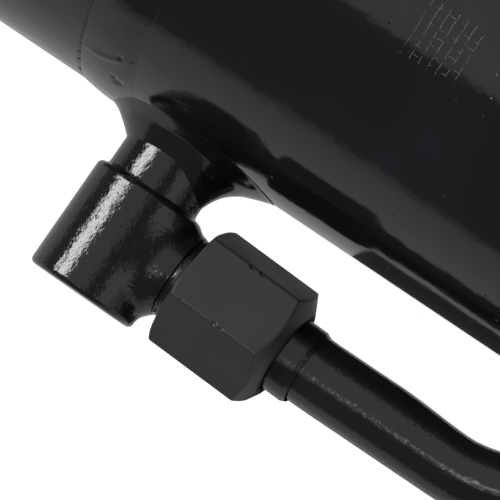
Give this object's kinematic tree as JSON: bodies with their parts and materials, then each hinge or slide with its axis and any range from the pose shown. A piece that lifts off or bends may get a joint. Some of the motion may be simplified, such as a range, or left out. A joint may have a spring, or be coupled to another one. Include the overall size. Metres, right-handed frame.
{
  "type": "hydraulic cylinder",
  "caption": "Double-acting welded hydraulic cylinder: pinned eye at each end, screwed gland, chromed rod, welded elbow ports and a steel transfer tube along the barrel.",
  "frame": {"origin": "centre of the base eye's pin hole", "axes": "+X along the cylinder's axis to the rod eye, +Z along both pin holes, the base port points to -Y"},
  "size_m": [0.884, 0.1547, 0.1344],
  "materials": {
    "barrel_tube": "gloss black enamel over steel, slight orange peel",
    "base_cap": "gloss black enamel over steel, slight orange peel",
    "base_weld": "gloss black enamel over steel, slight orange peel",
    "base_eye_bush": "plain bronze bush, machined",
    "base_eye_seal_top": "nitrile rubber, matt black",
    "base_eye_seal_bottom": "nitrile rubber, matt black",
    "base_grease_nipple": "zinc-plated steel",
    "base_port_elbow": "gloss black enamel over steel, slight orange peel",
    "base_port_weld": "gloss black enamel over steel, slight orange peel",
    "gland_port_elbow": "gloss black enamel over steel, slight orange peel",
    "gland_port_weld": "gloss black enamel over steel, slight orange peel",
    "base_tube_nut": "satin black over plated steel",
    "base_tube_sleeve": "satin black over plated steel",
    "transfer_tube": "gloss black enamel over steel, slight orange peel",
    "union_tube_nut": "satin black over plated steel",
    "union_tube_sleeve": "satin black over plated steel",
    "hose_union": "zinc-plated steel",
    "union_locknut": "zinc-plated steel",
    "union_bracket": "gloss black enamel over steel, slight orange peel",
    "union_bracket_weld_rear": "gloss black enamel over steel, slight orange peel",
    "union_bracket_weld_front": "gloss black enamel over steel, slight orange peel",
    "clamp_saddle_plate": "gloss black enamel over steel, slight orange peel",
    "clamp_inner_half": "black moulded polypropylene",
    "clamp_outer_half": "black moulded polypropylene",
    "clamp_cover_plate": "zinc-plated steel",
    "clamp_bolt_top": "zinc-plated steel",
    "clamp_bolt_bottom": "zinc-plated steel",
    "gland": "gloss black enamel over steel, slight orange peel",
    "rear_guide_ring": "bronze-filled PTFE",
    "front_guide_ring": "bronze-filled PTFE",
    "buffer_seal": "bronze-filled PTFE",
    "rod_seal": "blue polyurethane",
    "rod_wiper": "blue polyurethane",
    "gland_o_ring": "nitrile rubber, matt black",
    "gland_backup_ring": "bronze-filled PTFE",
    "gland_lock_screw": "machined steel",
    "piston_seal": "bronze-filled PTFE",
    "piston_seal_energizer": "nitrile rubber, matt black",
    "piston_guide_ring_rear": "bronze-filled PTFE",
    "piston_guide_ring_front": "bronze-filled PTFE",
    "piston_rod": "hard chrome, ground and polished",
    "rod_eye": "gloss black enamel over steel, slight orange peel",
    "rod_eye_weld": "gloss black enamel over steel, slight orange peel",
    "rod_eye_bush": "plain bronze bush, machined",
    "rod_eye_seal_top": "nitrile rubber, matt black",
    "rod_eye_seal_bottom": "nitrile rubber, matt black",
    "rod_grease_nipple": "zinc-plated steel",
    "piston": "machined steel",
    "piston_o_ring": "nitrile rubber, matt black",
    "piston_nut": "machined steel",
    "piston_nut_set_screw": "machined steel"
  },
  "bodies": {
    "barrel": {"barrel_tube": "barrel_tube", "base_cap": "base_cap", "base_weld": "base_weld", "base_eye_bush": "base_eye_bush", "base_eye_seal_top": "base_eye_seal_top", "base_eye_seal_bottom": "base_eye_seal_bottom", "base_grease_nipple": "base_grease_nipple", "base_port_elbow": "base_port_elbow", "base_port_weld": "base_port_weld", "gland_port_elbow": "gland_port_elbow", "gland_port_weld": "gland_port_weld", "base_tube_nut": "base_tube_nut", "base_tube_sleeve": "base_tube_sleeve", "transfer_tube": "transfer_tube", "union_tube_nut": "union_tube_nut", "union_tube_sleeve": "union_tube_sleeve", "hose_union": "hose_union", "union_locknut": "union_locknut", "union_bracket": "union_bracket", "union_bracket_weld_rear": "union_bracket_weld_rear", "union_bracket_weld_front": "union_bracket_weld_front", "clamp_saddle_plate": "clamp_saddle_plate", "clamp_inner_half": "clamp_inner_half", "clamp_outer_half": "clamp_outer_half", "clamp_cover_plate": "clamp_cover_plate", "clamp_bolt_top": "clamp_bolt_top", "clamp_bolt_bottom": "clamp_bolt_bottom", "gland": "gland", "rear_guide_ring": "rear_guide_ring", "front_guide_ring": "front_guide_ring", "buffer_seal": "buffer_seal", "rod_seal": "rod_seal", "rod_wiper": "rod_wiper", "gland_o_ring": "gland_o_ring", "gland_backup_ring": "gland_backup_ring", "gland_lock_screw": "gland_lock_screw"},
    "piston_seals": {"piston_seal": "piston_seal", "piston_seal_energizer": "piston_seal_energizer", "piston_guide_ring_rear": "piston_guide_ring_rear", "piston_guide_ring_front": "piston_guide_ring_front"},
    "rod": {"piston_rod": "piston_rod", "rod_eye": "rod_eye", "rod_eye_weld": "rod_eye_weld", "rod_eye_bush": "rod_eye_bush", "rod_eye_seal_top": "rod_eye_seal_top", "rod_eye_seal_bottom": "rod_eye_seal_bottom", "rod_grease_nipple": "rod_grease_nipple", "piston": "piston", "piston_o_ring": "piston_o_ring", "piston_nut": "piston_nut", "piston_nut_set_screw": "piston_nut_set_screw"}
  },
  "joints": [
    {"name": "stroke", "type": "slide", "parent": "barrel", "child": "piston_seals", "axis": [1, 0, 0], "range_m": [0, 0.4064]},
    {"name": "rod_turn", "type": "hinge", "parent": "piston_seals", "child": "rod", "pos_m": [0, 0, 0], "axis": [1, 0, 0], "continuous": true}
  ]
}
